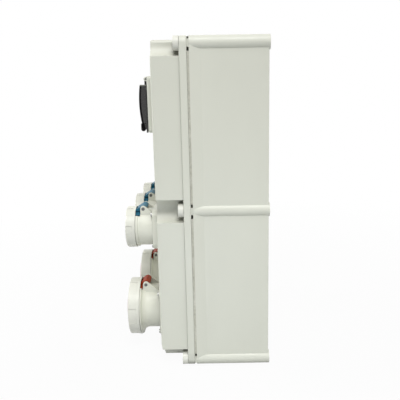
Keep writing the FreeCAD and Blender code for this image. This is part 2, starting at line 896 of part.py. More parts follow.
def add_flap_lip(body, middle, back):
    """An oval finger bar along the foot of the flap, on a thin web."""
    centre = back + dim.flap_lip_reach
    web = side_sketch(body)
    side_outline(web, [
        (back, middle - dim.flap_lip_web), (back, middle + dim.flap_lip_web),
        (centre, middle + dim.flap_lip_web), (centre, middle - dim.flap_lip_web),
    ])
    pad(web, dim.flap_lip_length, symmetric=True)
    bar_back = centre - dim.flap_lip_half
    bar_front = centre + dim.flap_lip_half
    high = middle + dim.flap_lip_straight
    low = middle - dim.flap_lip_straight
    bar = side_sketch(body)
    side_outline(bar, [
        (bar_back, low), (bar_back, high, dim.flap_lip_round),
        (bar_front, high), (bar_front, low, dim.flap_lip_round),
    ])
    pad(bar, dim.flap_lip_length, symmetric=True)


def make_window_rod():
    """Two short hinge rods, one in each ear and knuckle."""
    body = new_body("window_hinge_rod", 0, dim.window_height)
    rod = side_sketch(body, dim.flap_width / 2 - dim.knuckle_wide)
    circle(rod, -dim.flap_hinge_depth, dim.flap_hinge_rise, dim.flap_rod_radius)
    length = dim.knuckle_wide + dim.fit_gap + dim.window_ear_wide + dim.pin_proud
    mirror_across([pad(rod, length)])


# Breaker row on its rail

LEVER_TILT = math.radians(35)
TIE_START = 0.74
DEVICES = [
    # name, modules, toggles on the lever, width of a toggle
    ("rcd", 4, 1, 14),
    ("mcb_three_pole_left", 3, 3, 10),
    ("mcb_three_pole_right", 3, 3, 10),
    ("mcb_single_left", 1, 1, 10),
    ("mcb_single_middle", 1, 1, 10),
    ("mcb_single_right", 1, 1, 10),
]
MODULES = sum(device[1] for device in DEVICES)
breaker_front = dim.rail_depth + dim.breaker_nose
shoulder_front = dim.rail_depth + dim.breaker_shoulder
rail_back = dim.rail_depth - dim.rail_hat
RAIL_SCREW_PLACES = [(dim.rail_length / 2 - dim.rail_screw_inset) * side for side in (-1, 1)]


def device_centres():
    """The middle of each device across the board, packed side by side from the left."""
    start = 0
    centres = []
    for name, modules, toggles, toggle_wide in DEVICES:
        centres.append(dim.module_width * (start + modules / 2 - MODULES / 2))
        start += modules
    return centres


def make_rail():
    body = new_body("din_rail", 0, dim.window_height)
    skin = dim.rail_skin
    inner = dim.rail_channel - skin
    lip = dim.rail_depth - skin
    profile = side_sketch(body)
    upper = [
        (rail_back + skin, inner), (dim.rail_depth, inner), (dim.rail_depth, dim.rail_half),
        (lip, dim.rail_half), (lip, dim.rail_channel), (rail_back, dim.rail_channel),
    ]
    side_outline(profile, upper + [(depth, -z) for depth, z in reversed(upper)])
    pad(profile, dim.rail_length, symmetric=True)
    holes = front_sketch(body, rail_back + skin)
    for x in RAIL_SCREW_PLACES:
        circle(holes, x, 0, dim.small_screw_hole)
    pocket(holes, skin)


def make_rail_brackets():
    """Two folded channels that stand the rail off the floor of the box."""
    body = new_body("rail_brackets", 0, dim.window_height)
    skin = dim.bracket_skin
    outer = dim.rail_length / 2
    inner = outer - dim.bracket_wide
    foot = plan_sketch(body)
    outline(foot, [(x, -depth) for x, depth in (
        (inner, floor_depth), (outer, floor_depth),
        (outer, floor_depth + skin), (inner + skin, floor_depth + skin),
        (inner + skin, rail_back - skin), (outer, rail_back - skin),
        (outer, rail_back), (inner, rail_back),
    )])
    mirror_across([pad(foot, dim.bracket_tall, symmetric=True)])
    holes = front_sketch(body, rail_back)
    for x in RAIL_SCREW_PLACES:
        circle(holes, x, 0, dim.small_screw_hole)
    pocket(holes, skin)


def make_rail_screws():
    body = new_body("rail_screws", 0, dim.window_height)
    seat = rail_back + dim.rail_skin
    heads = front_sketch(body, seat)
    shanks = front_sketch(body, seat - dim.rail_screw_length)
    for x in RAIL_SCREW_PLACES:
        circle(heads, x, 0, dim.small_screw_head)
        circle(shanks, x, 0, dim.small_screw_shank)
    pad(heads, dim.small_screw_head_tall)
    pad(shanks, dim.rail_screw_length)
    for upright in (False, True):
        places = [(x, 0) for x in RAIL_SCREW_PLACES]
        slot_screws(body, places, seat + dim.small_screw_head_tall, dim.cross_length, upright)


def pole_places(poles):
    """The middle of each pole across a device."""
    return [dim.module_width * (index + 0.5 - poles / 2) for index in range(poles)]


def toggle_span(toggles, toggle_wide):
    return dim.module_width * (toggles - 1) + toggle_wide


def make_breaker_body(name, modules, toggles, toggle_wide, centre):
    """Stepped device body with a slot for each toggle and a screw pit above and below each pole."""
    body = new_body(name + "_body", centre, dim.window_height)
    back = dim.rail_depth - dim.breaker_claw
    claw = dim.rail_half + dim.rail_claw_gap
    upper = [
        (dim.rail_depth, claw), (back, claw), (back, dim.breaker_half), (shoulder_front, dim.breaker_half),
        (shoulder_front, dim.nose_half), (breaker_front, dim.nose_half),
    ]
    profile = side_sketch(body)
    side_outline(profile, upper + [(depth, -z) for depth, z in reversed(upper)])
    pad(profile, dim.module_width * modules - dim.device_gap, symmetric=True)
    slots = front_sketch(body, breaker_front)
    for x in pole_places(toggles):
        rectangle(slots, dim.fit_gap * 2 + toggle_wide, dim.lever_slot_half * 2, x)
    pocket(slots, breaker_front - dim.lever_axis_depth + dim.lever_hub_radius + dim.fit_gap)
    pivot = side_sketch(body)
    circle(pivot, -dim.lever_axis_depth, 0, dim.lever_axle_radius + dim.run_gap)
    pocket(pivot, (dim.lever_axle_end + dim.fit_gap) * 2 + toggle_span(toggles, toggle_wide), symmetric=True)
    if toggles > 1:
        grooves = front_sketch(body, breaker_front)
        for x in pole_places(toggles - 1):
            rectangle(grooves, dim.pole_groove_wide, (dim.nose_half + dim.cut_over) * 2, x)
        pocket(grooves, dim.pole_groove_deep)
    terminals = front_sketch(body, shoulder_front)
    for x in pole_places(modules):
        circle(terminals, x, dim.terminal_rise, dim.terminal_hole)
        circle(terminals, x, -dim.terminal_rise, dim.terminal_hole)
    pocket(terminals, dim.terminal_deep)
    if name == "rcd":
        button_hole = front_sketch(body, breaker_front)
        rectangle(button_hole, dim.button_wide + dim.fit_gap * 2, dim.button_tall + dim.fit_gap * 2,
                  dim.button_across, dim.button_rise)
        pocket(button_hole, dim.button_hole_deep)


def lever_blade(body, across, start, root_half, tip_half, width):
    """A blade of the lever from a share of its reach to the tip, which points up and out while it is on."""
    out = math.cos(LEVER_TILT)
    up = math.sin(LEVER_TILT)
    corners = ((start, -root_half), (1, -tip_half), (1, tip_half), (start, root_half))
    blade = side_sketch(body, across)
    side_outline(blade, [
        (dim.lever_axis_depth + dim.lever_reach * (share * out) - offset * up,
         dim.lever_reach * (share * up) + offset * out)
        for share, offset in corners
    ])
    pad(blade, width, symmetric=True)


def make_lever(name, toggles, toggle_wide, centre):
    """Lever on an axle: a hub and a toggle for each pole, tied together at the tips."""
    body = new_body(name + "_lever", centre, dim.window_height)
    span = toggle_span(toggles, toggle_wide)
    axle = side_sketch(body)
    circle(axle, -dim.lever_axis_depth, 0, dim.lever_axle_radius)
    pad(axle, dim.lever_axle_end * 2 + span, symmetric=True)
    for x in pole_places(toggles):
        hub = side_sketch(body, x)
        circle(hub, -dim.lever_axis_depth, 0, dim.lever_hub_radius)
        pad(hub, toggle_wide, symmetric=True)
        lever_blade(body, x, 0, dim.lever_root_half, dim.lever_tip_half, toggle_wide)
    if toggles > 1:
        lever_blade(body, 0, TIE_START, dim.tie_half, dim.tie_half, span)


def make_test_button(centre):
    body = new_body("rcd_test_button", centre, dim.window_height)
    cap = front_sketch(body, breaker_front + dim.button_proud - dim.button_length)
    rectangle(cap, dim.button_wide, dim.button_tall, dim.button_across, dim.button_rise)
    pad(cap, dim.button_length)


def make_terminal_screws(centres):
    body = new_body("breaker_terminal_screws", 0, dim.window_height)
    heads = front_sketch(body, shoulder_front - dim.terminal_deep)
    places = []
    for centre, device in zip(centres, DEVICES):
        for x in pole_places(device[1]):
            places += [(centre + x, dim.terminal_rise), (centre + x, -dim.terminal_rise)]
    for place in places:
        circle(heads, *place, dim.terminal_screw)
    pad(heads, dim.terminal_screw_tall)
    front = shoulder_front - dim.terminal_deep + dim.terminal_screw_tall
    slot_screws(body, places, front, dim.terminal_screw * 2 + dim.cut_over)


def make_breaker_row():
    make_rail()
    make_rail_brackets()
    make_rail_screws()
    centres = device_centres()
    for centre, (name, modules, toggles, toggle_wide) in zip(centres, DEVICES):
        make_breaker_body(name, modules, toggles, toggle_wide, centre)
        make_lever(name, toggles, toggle_wide, centre)
    make_test_button(centres[0])
    make_terminal_screws(centres)


# Earth and neutral bars on their holders

BAR_SCREW_COUNT = 8
BARS = [("earth_bar", -1), ("neutral_bar", 1)]


def bar_screw_places():
    """Screws at an even pitch along a bar, with one pitch and a half left clear at each end."""
    pitch = dim.bar_length / (BAR_SCREW_COUNT + 2)
    return [pitch * (index - (BAR_SCREW_COUNT - 1) / 2) for index in range(BAR_SCREW_COUNT)]


def make_bars():
    for name, side in BARS:
        body = new_body(name, dim.bar_spread / 2 * side, dim.bar_height)
        block = front_sketch(body, dim.bar_back)
        rectangle(block, dim.bar_length, dim.bar_tall)
        pad(block, dim.bar_front - dim.bar_back)
        holes = front_sketch(body, dim.bar_front)
        for x in bar_screw_places():
            circle(holes, x, 0, dim.bar_screw + dim.bar_screw_gap)
        pocket(holes, dim.bar_screw_deep)
    holders = new_body("bar_holders", 0, dim.bar_height)
    feet = front_sketch(holders, floor_depth)
    screws = new_body("bar_screws", 0, dim.bar_height)
    screw_foot = dim.bar_front - dim.bar_screw_deep
    heads = front_sketch(screws, screw_foot)
    places = []
    for name, side in BARS:
        middle = dim.bar_spread / 2 * side
        foot_reach = dim.bar_length / 2 - dim.bar_foot_inset
        for end in (-1, 1):
            rectangle(feet, dim.bar_foot_wide, dim.bar_foot_tall, middle + foot_reach * end)
        places += [(middle + x, 0) for x in bar_screw_places()]
    for place in places:
        circle(heads, *place, dim.bar_screw)
    pad(feet, dim.bar_back - floor_depth)
    pad(heads, dim.bar_screw_length)
    slot_screws(screws, places, screw_foot + dim.bar_screw_length, dim.bar_screw * 2 + dim.cut_over)


# Industrial sockets: housing, insert, lid, seal and bayonet ring

LUG_COUNT = 2
LUG_ANGLE = 18
TAB_TURN = 40
GRIP_COUNT = 6
DOME_SHARE = 0.72
socket_back = cover_front + dim.socket_seal
socket_floor = cover_front + dim.floor_thick


def make_housing(name, colour, x):
    """Flange, neck and bayonet collar in one, with two hinge ears above the neck."""
    kind = KINDS[colour]
    body = new_body(name + "_housing", x, -kind.drop)
    barrel = plan_sketch(body)
    turned_outline(barrel, [
        (0, socket_back), (kind.neck, socket_back),
        (kind.neck, kind.collar_back - kind.flare, kind.flare), (kind.collar, kind.collar_back),
        (kind.collar, kind.collar_front), (kind.spigot, kind.collar_front),
        (kind.spigot, kind.mouth), (0, kind.mouth),
    ])
    turn("Revolution", barrel)
    flange = front_sketch(body, socket_back)
    round_rectangle(flange, kind.flange_half * 2, kind.flange_half * 2, dim.flange_round)
    pad(flange, kind.flange_front - socket_back)
    make_hinge_ears(body, kind)
    bore = front_sketch(body, kind.mouth)
    circle(bore, 0, 0, kind.bore)
    pocket(bore, kind.mouth - socket_floor)
    carrier_hole = front_sketch(body, kind.mouth)
    circle(carrier_hole, 0, 0, kind.insert + dim.carrier_gap)
    pocket(carrier_hole, kind.mouth - socket_back)
    wide_bore = front_sketch(body, kind.mouth)
    circle(wide_bore, 0, 0, kind.spigot - dim.spigot_wall)
    pocket(wide_bore, kind.mouth - kind.collar_back)
    cut_strap_notch(body, kind)
    screw_holes = front_sketch(body, kind.flange_front)
    for side in (-1, 1):
        for row in (-1, 1):
            circle(screw_holes, kind.screw_reach * side, kind.screw_reach * row, dim.small_screw_hole)
    pocket(screw_holes, kind.flange_front - socket_back)
    lug = plan_sketch(body)
    lug_root = kind.spigot - dim.root_sink
    lug_back = kind.ring_back + dim.lug_lead
    lug_front = lug_back + dim.lug_thick
    turned_outline(lug, [
        (lug_root, lug_back), (kind.lug, lug_back), (kind.lug, lug_front), (lug_root, lug_front),
    ])
    repeat_around(turn("Revolution", lug, angle=LUG_ANGLE), LUG_COUNT)


def make_hinge_ears(body, kind):
    """Two ears that carry the hinge pin, each with a gusset down to the flange."""
    ear = side_sketch(body, dim.ear_inner)
    lean = kind.ear * DIAGONAL
    ear_back = kind.flange_front - dim.ear_sink
    ear_low = kind.neck / 2
    side_outline(ear, [
        (ear_back, kind.ear_foot), (kind.flange_front, kind.ear_foot),
        (kind.pin_depth - lean, kind.pin_rise + lean, kind.ear), (kind.ear_front, kind.pin_rise),
        (kind.ear_front, ear_low), (ear_back, ear_low),
    ])
    mirror_across([pad(ear, dim.ear_thick)])
    bore = side_sketch(body)
    circle(bore, -kind.pin_depth, kind.pin_rise, dim.pin_radius + dim.press_gap)
    pocket(bore, (dim.ear_inner + dim.ear_thick) * 2, symmetric=True)


def cut_strap_notch(body, kind):
    """Lets the lid's web through the collar, and its arm and knuckle turn between the ears."""
    front = kind.collar_front + dim.cut_over
    top = kind.collar + dim.cut_over
    low = kind.notch_low
    notch = side_sketch(body)
    side_outline(notch, [(kind.notch_back, low), (front, low), (front, top), (kind.notch_back, top)])
    turn("Groove", notch, axis="H_Axis", angle=angle_across(kind.web + dim.web_gap, kind.disc))
    arm_top = kind.pin_rise + kind.ear + dim.cut_over
    arm_front = kind.notch_back + dim.cut_over
    arm_room = side_sketch(body)
    side_outline(arm_room, [
        (kind.pin_depth, low), (arm_front, low), (arm_front, arm_top), (kind.pin_depth, arm_top),
    ])
    pocket(arm_room, dim.ear_inner * 2, symmetric=True)
    knuckle_room = side_sketch(body)
    circle(knuckle_room, -kind.pin_depth, kind.pin_rise, kind.knuckle + dim.fit_gap)
    pocket(knuckle_room, dim.ear_inner * 2, symmetric=True)


def make_inserts(colour):
    """Contact carriers, which pass through the housings' floors and the cover, and their sleeves."""
    kind = KINDS[colour]
    places = [x for name, socket_colour, x in SOCKETS if socket_colour == colour]
    spread = places[-1] - places[0]
    body = new_body(colour + "_inserts", places[0], -kind.drop)
    tail = cover_front - dim.carrier_tail
    core = front_sketch(body, tail)
    circle(core, 0, 0, kind.insert)
    carrier = pad(core, kind.insert_front - tail)
    holes = front_sketch(body, kind.insert_front)
    contacts = new_body(colour + "_contacts", places[0], -kind.drop)
    sleeves = front_sketch(contacts, kind.insert_front - dim.contact_deep)
    for angle in CONTACT_ANGLES[colour]:
        across = kind.contact_circle * math.cos(math.radians(angle))
        up = kind.contact_circle * math.sin(math.radians(angle))
        circle(holes, across, up, kind.contact)
        circle(sleeves, across, up, kind.contact - dim.press_gap)
        circle(sleeves, across, up, kind.contact - dim.contact_skin)
    repeat_across([carrier, pocket(holes, dim.contact_deep)], spread, len(places))
    repeat_across([pad(sleeves, dim.contact_deep - dim.contact_recess)], spread, len(places))


def make_lid(name, colour, x):
    """Hinged lid: a hollow disc with a dome, a strap that leaves behind the ring and a hinge knuckle."""
    kind = KINDS[colour]
    body = new_body(name + "_lid", x, -kind.drop)
    skin = dim.lid_skin
    seat = kind.mouth + dim.lid_gap
    disc = kind.disc
    rim_front = kind.ring_front - dim.ring_lip_thick - dim.ring_end_play
    step = kind.ring_lip - dim.fit_gap
    step_front = kind.ring_front - dim.lid_step
    dome_edge = kind.ring_lip * DOME_SHARE
    dome_edge_front = kind.dome - dim.dome_fall
    ledge = kind.spigot - dim.lid_ledge
    cap = plan_sketch(body)
    turned_outline(cap, [
        (0, kind.dome - skin), (dome_edge, dome_edge_front - skin),
        (ledge, step_front - skin), (ledge, seat), (disc, seat), (disc, rim_front),
        (step, rim_front), (step, step_front), (dome_edge, dome_edge_front), (0, kind.dome),
    ])
    turn("Revolution", cap)
    seal_low = kind.spigot - dim.seal_inner - dim.press_gap
    seal_high = kind.spigot + dim.seal_outer + dim.press_gap
    groove_back = seat - dim.cut_over
    groove_front = kind.mouth + dim.seal_lead + dim.seal_thick
    groove = plan_sketch(body)
    turned_outline(groove, [
        (seal_low, groove_back), (seal_high, groove_back),
        (seal_high, groove_front), (seal_low, groove_front),
    ])
    turn("Groove", groove)
    add_lid_strap(body, kind, seat)


def add_lid_strap(body, kind, seat):
    """The strap from the lid's rim to a wide web behind the ring, and the arm and knuckle of its hinge."""
    back = kind.notch_back + dim.fit_gap
    low = kind.notch_low + dim.fit_gap
    web_front = kind.ring_back - dim.arm_gap
    strap_front = seat + dim.root_sink
    for half, front in ((dim.strap_half, strap_front), (kind.web, web_front)):
        strap = side_sketch(body)
        side_outline(strap, [(back, low), (front, low), (front, kind.disc), (back, kind.disc)])
        turn("Revolution", strap, axis="H_Axis", angle=angle_across(half, kind.disc))
    arm_width = (dim.ear_inner - dim.ear_clearance) * 2
    arm_low = low + dim.arm_step
    lean = kind.knuckle * DIAGONAL
    arm = side_sketch(body)
    side_outline(arm, [
        (kind.pin_depth, kind.pin_rise - dim.pin_radius), (back, arm_low), (web_front, arm_low),
        (web_front, kind.disc), (kind.pin_depth + lean, kind.pin_rise + lean),
    ])
    pad(arm, arm_width, symmetric=True)
    knuckle = side_sketch(body)
    circle(knuckle, -kind.pin_depth, kind.pin_rise, kind.knuckle)
    pad(knuckle, arm_width, symmetric=True)
    bore = side_sketch(body)
    circle(bore, -kind.pin_depth, kind.pin_rise, dim.pin_radius + dim.run_gap)
    pocket(bore, dim.ear_inner * 2, symmetric=True)
    spring_room = side_sketch(body)
    circle(spring_room, -kind.pin_depth, kind.pin_rise, kind.knuckle - dim.knuckle_skin)
    pocket(spring_room, dim.spring_wide + dim.fit_gap * 2, symmetric=True)


def make_lid_seal(name, colour, x):
    kind = KINDS[colour]
    body = new_body(name + "_seal", x, -kind.drop)
    low = kind.spigot - dim.seal_inner
    high = kind.spigot + dim.seal_outer
    back = kind.mouth + dim.seal_lead
    front = back + dim.seal_thick
    ring = plan_sketch(body)
    turned_outline(ring, [(low, back), (high, back), (high, front), (low, front)])
    turn("Revolution", ring)


def make_ring(name, colour, x):
    """Bayonet ring with grip lands, which turns on the lid and hooks its tabs behind the lugs."""
    kind = KINDS[colour]
    body = new_body(name + "_ring", x, -kind.drop)
    lip_back = kind.ring_front - dim.ring_lip_thick
    band = plan_sketch(body)
    turned_outline(band, [
        (kind.ring_bore, kind.ring_back), (kind.ring, kind.ring_back),
        (kind.ring, kind.ring_front - dim.ring_edge), (kind.ring - dim.ring_edge, kind.ring_front),
        (kind.ring_lip, kind.ring_front),
        (kind.ring_lip, lip_back), (kind.ring_bore, lip_back),
    ])
    turn("Revolution", band)
    floor = kind.ring - dim.grip_recess
    recess_top = kind.ring + dim.cut_over
    recess_back = kind.ring_back + dim.grip_start
    recess_front = kind.ring_front + dim.cut_over
    recess = plan_sketch(body)
    turned_outline(recess, [
        (floor, recess_back), (recess_top, recess_back), (recess_top, recess_front), (floor, recess_front),
    ])
    repeat_around(turn("Groove", recess, angle=180 / GRIP_COUNT), GRIP_COUNT)
    tab = plan_sketch(body)
    tab.AttachmentOffset = FreeCAD.Placement(
        FreeCAD.Vector(0, 0, 0), FreeCAD.Rotation(FreeCAD.Vector(0, 1, 0), -TAB_TURN))
    tab_low = kind.lug - dim.tab_overlap
    tab_root = kind.ring_bore + dim.root_sink
    tab_back = kind.ring_back + dim.tab_lead
    tab_front = tab_back + dim.tab_thick
    turned_outline(tab, [
        (tab_low, tab_back), (tab_root, tab_back), (tab_root, tab_front), (tab_low, tab_front),
    ])
    repeat_around(turn("Revolution", tab, angle=LUG_ANGLE), LUG_COUNT)


def make_hinge_pins():
    body = new_body("lid_hinge_pins")
    length = (dim.ear_inner + dim.ear_thick + dim.pin_proud) * 2
    for name, colour, x in SOCKETS:
        kind = KINDS[colour]
        pin = side_sketch(body, x)
        circle(pin, -kind.pin_depth, kind.pin_rise - kind.drop, dim.pin_radius)
        pad(pin, length, symmetric=True)


def make_lid_springs():
    body = new_body("lid_springs")
    for name, colour, x in SOCKETS:
        kind = KINDS[colour]
        spring = side_sketch(body, x)
        outer = kind.knuckle - dim.knuckle_skin - dim.spring_gap
        for radius in (outer, dim.pin_radius + dim.run_gap):
            circle(spring, -kind.pin_depth, kind.pin_rise - kind.drop, radius)
        pad(spring, dim.spring_wide, symmetric=True)


def make_flange_seals():
    body = new_body("socket_flange_seals")
    plates = front_sketch(body, cover_front)
    for name, colour, x in SOCKETS:
        kind = KINDS[colour]
        side = (kind.flange_half - dim.flange_seal_inset) * 2
        rectangle(plates, side, side, x, -kind.drop)
        circle(plates, x, -kind.drop, kind.cover_hole + dim.flange_seal_gap)
        for place in flange_screw_places(kind, x):
            circle(plates, *place, dim.small_screw_hole)
    pad(plates, dim.socket_seal)


def make_flange_screws():
    body = new_body("socket_screws")
    for colour, kind in KINDS.items():
        heads = front_sketch(body, kind.flange_front)
        shanks = front_sketch(body, cover_front - dim.flange_screw_bite)
        places = []
        for name, socket_colour, x in SOCKETS:
            if socket_colour == colour:
                places += flange_screw_places(kind, x)
        for place in places:
            circle(heads, *place, dim.small_screw_head)
            circle(shanks, *place, dim.small_screw_shank)
        pad(heads, dim.small_screw_head_tall)
        pad(shanks, kind.flange_front - cover_front + dim.flange_screw_bite)
        heads_front = kind.flange_front + dim.small_screw_head_tall
        for upright in (False, True):
            slot_screws(body, places, heads_front, dim.cross_length, upright)


def make_sockets():
    for name, colour, x in SOCKETS:
        make_housing(name, colour, x)
        make_lid(name, colour, x)
        make_lid_seal(name, colour, x)
        make_ring(name, colour, x)
    for colour in KINDS:
        make_inserts(colour)
    make_hinge_pins()
    make_lid_springs()
    make_flange_seals()
    make_flange_screws()


def check_document():
    """Stops with the names of what failed, before anything is written."""
    doc.recompute()
    failed = [item.Label for item in doc.Objects if "Invalid" in item.State or "Error" in item.State]
    broken = [node.Label for node in NODES if node.Shape.isNull() or not node.Shape.isValid()]
    if failed or broken:
        raise RuntimeError(f"failed objects: {failed}; broken shapes: {broken}")


def write_parts():
    os.makedirs("parts", exist_ok=True)
    for node in NODES:
        node.Shape.exportStep(f"parts/{node.Label}.step")
        print(node.Label, len(node.Shape.Solids), round(node.Shape.Volume))


make_rear_box()
make_cover_gasket()
make_screw_inserts()
make_cover_screws()
make_front_cover()
make_window_frame()
make_window_seal()
make_window_flap()
make_window_rod()
make_breaker_row()
make_bars()
make_sockets()
check_document()
write_parts()
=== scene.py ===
import json
import math
import bpy
from mathutils import Matrix, Vector


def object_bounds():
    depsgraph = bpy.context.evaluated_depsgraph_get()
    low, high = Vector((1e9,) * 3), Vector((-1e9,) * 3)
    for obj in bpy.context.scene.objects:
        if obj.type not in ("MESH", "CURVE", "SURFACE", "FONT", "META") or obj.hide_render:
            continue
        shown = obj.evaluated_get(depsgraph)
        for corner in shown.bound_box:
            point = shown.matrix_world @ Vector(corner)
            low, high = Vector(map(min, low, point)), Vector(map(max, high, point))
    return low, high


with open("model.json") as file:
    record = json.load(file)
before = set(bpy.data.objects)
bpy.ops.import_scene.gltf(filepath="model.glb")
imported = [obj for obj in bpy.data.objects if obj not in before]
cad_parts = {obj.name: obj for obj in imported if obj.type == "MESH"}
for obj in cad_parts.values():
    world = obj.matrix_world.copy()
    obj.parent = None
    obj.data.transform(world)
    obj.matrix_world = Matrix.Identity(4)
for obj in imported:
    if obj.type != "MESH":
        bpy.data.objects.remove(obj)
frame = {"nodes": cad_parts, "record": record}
CAD_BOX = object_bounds()
NODES = frame["nodes"]
SLOT_OF_NODE = {part["node"]: part["material_slot"] for part in frame["record"]["subparts"]}

# Camera, from the photograph's vanishing lines, with its off-centre axis as a lens shift
PHOTO_PIXELS = 400
FOCAL_PIXELS = 532.87
AXIS_PIXELS = (217.49, 203.42)
SENSOR_MM = 36.0
CAMERA_PLACE = Vector((0.9395, -0.0796, 0.1845))
CAMERA_YAW = -0.0021
CAMERA_PITCH = 0.2203
CAMERA_ROLL = 0.0166

SMOOTH_ANGLE = math.radians(32)
ORIGIN = (0.0, 0.0, 0.0)
WHITE = (1.0, 1.0, 1.0)


# Shader helpers. Sizes, reaches and depths are in metres, and a share runs from 0 to 1

NOISE_ROUGHNESS = 0.55
NODE_SAMPLES = 4
OCCLUSION_DEEP = 0.35
OCCLUSION_OPEN = 0.85
EDGE_SHARP = 0.8
EDGE_FLAT = 1.0


def new_material(name):
    """A material with its Principled shader, ready for nodes."""
    material = bpy.data.materials.new(name)
    material.use_nodes = True
    return material, material.node_tree, material.node_tree.nodes["Principled BSDF"]


def add_node(tree, kind, **values):
    """A node with some of its input values set, by socket name."""
    node = tree.nodes.new(kind)
    for name, value in values.items():
        node.inputs[name.replace("_", " ")].default_value = value
    return node


def place_in_object(tree, stretch=(1, 1, 1), source="Object"):
    """The object's own coordinates, or its normal, stretched along its axes."""
    coordinates = add_node(tree, "ShaderNodeTexCoord")
    mapping = add_node(tree, "ShaderNodeMapping", Scale=stretch)
    tree.links.new(coordinates.outputs[source], mapping.inputs["Vector"])
    return mapping.outputs["Vector"]


def noise(tree, place, size, detail=3.0):
    """Noise whose lumps are about as large as size."""
    node = add_node(
        tree, "ShaderNodeTexNoise", Scale=1.0 / size, Detail=detail, Roughness=NOISE_ROUGHNESS
    )
    tree.links.new(place, node.inputs["Vector"])
    return node.outputs["Fac"]


def spread(tree, value, low, high, from_low=0.3, from_high=0.7):
    """Maps a value onto a range and holds it at the ends. The default limits suit a noise."""
    node = add_node(
        tree, "ShaderNodeMapRange", From_Min=from_low, From_Max=from_high, To_Min=low, To_Max=high
    )
    tree.links.new(value, node.inputs["Value"])
    return node.outputs["Result"]


def fade(tree, share, start, end):
    """A value that goes from start, where the share is 0, to end, where it is 1."""
    return spread(tree, share, start, end, 0.0, 1.0)


def combine(tree, operation, first, second):
    """Two values joined by a math operation."""
    node = tree.nodes.new("ShaderNodeMath")
    node.operation = operation
    tree.links.new(first, node.inputs[0])
    tree.links.new(second, node.inputs[1])
    return node.outputs["Value"]


def mix_colour(tree, share, first, second):
    """Mixes two colours by a share. Each colour is a tuple or another node's output."""
    node = tree.nodes.new("ShaderNodeMix")
    node.data_type = "RGBA"
    sockets = [socket for socket in node.inputs if socket.type == "RGBA"]
    for socket, colour in zip(sockets, (first, second)):
        if isinstance(colour, tuple):
            socket.default_value = (*colour, 1.0)
        else:
            tree.links.new(colour, socket)
    tree.links.new(share, node.inputs["Factor"])
    return next(socket for socket in node.outputs if socket.type == "RGBA")


def scaled(colour, factor):
    """A colour made darker or lighter, held at white."""
    return tuple(min(channel * factor, 1.0) for channel in colour)


def rounded_normal(tree, radius):
    """The normal of the surface with its edges rounded by a radius."""
    bevel = add_node(tree, "ShaderNodeBevel", Radius=radius)
    bevel.samples = NODE_SAMPLES
    return bevel.outputs["Normal"]


def crevice_share(tree, reach, most):
    """How enclosed a place is by walls within reach: most in crevices, none on open faces."""
    occlusion = add_node(tree, "ShaderNodeAmbientOcclusion", Distance=reach)
    occlusion.samples = NODE_SAMPLES
    return spread(tree, occlusion.outputs["AO"], most, 0.0, OCCLUSION_DEEP, OCCLUSION_OPEN)


def edge_share(tree, radius, most):
    """How worn a place is: most on edges, none on flat faces."""
    geometry = add_node(tree, "ShaderNodeNewGeometry")
    dot = tree.nodes.new("ShaderNodeVectorMath")
    dot.operation = "DOT_PRODUCT"
    tree.links.new(rounded_normal(tree, radius), dot.inputs[0])
    tree.links.new(geometry.outputs["Normal"], dot.inputs[1])
    return spread(tree, dot.outputs["Value"], most, 0.0, EDGE_SHARP, EDGE_FLAT)


def far_share(tree, axes, centre, near, far, source="Object"):
    """None within a near distance of a centre, along the given axes only, and all beyond a far one."""
    distance = tree.nodes.new("ShaderNodeVectorMath")
    distance.operation = "DISTANCE"
    distance.inputs[1].default_value = centre
    tree.links.new(place_in_object(tree, axes, source), distance.inputs[0])
    return spread(tree, distance.outputs["Value"], 0.0, 1.0, near, far)


def bump(tree, shader, height, strength, depth, edge_radius=0.0):
    """Bumps the shader, on edges that are softened by a radius where one is given."""
    node = add_node(tree, "ShaderNodeBump", Strength=strength, Distance=depth)
    tree.links.new(height, node.inputs["Height"])
    if edge_radius > 0:
        tree.links.new(rounded_normal(tree, edge_radius), node.inputs["Normal"])
    tree.links.new(node.outputs["Normal"], shader.inputs["Normal"])


# Moulded plastic. A tone is a factor on the colour

FLOW_STRETCH = (1, 1, 0.35)
FLOW_SIZE = 0.12
FLECK_SIZE = 0.0012
FLECK_LIMITS = (0.55, 0.8)
FLECK_MOST = 0.10
FLECK_TONE = 0.8
MOULD_EDGE = 0.0006
WORN_MOST = 0.25
WORN_TONE = 1.25
# Painted shade in crevices: its tone, made darker by the deepening times the crevice share
CREVICE_SHADE_TONE = 0.57
CREVICE_SHADE_DEEPENING = 0.4
GLOSS_SIZE = 0.03
GLOSS_SMOOTHER = 0.05
GLOSS_ROUGHER = 0.07
GRAIN_SIZE = 0.0007
GRAIN_STRENGTH = 0.25
GRAIN_DEPTH = 0.00003


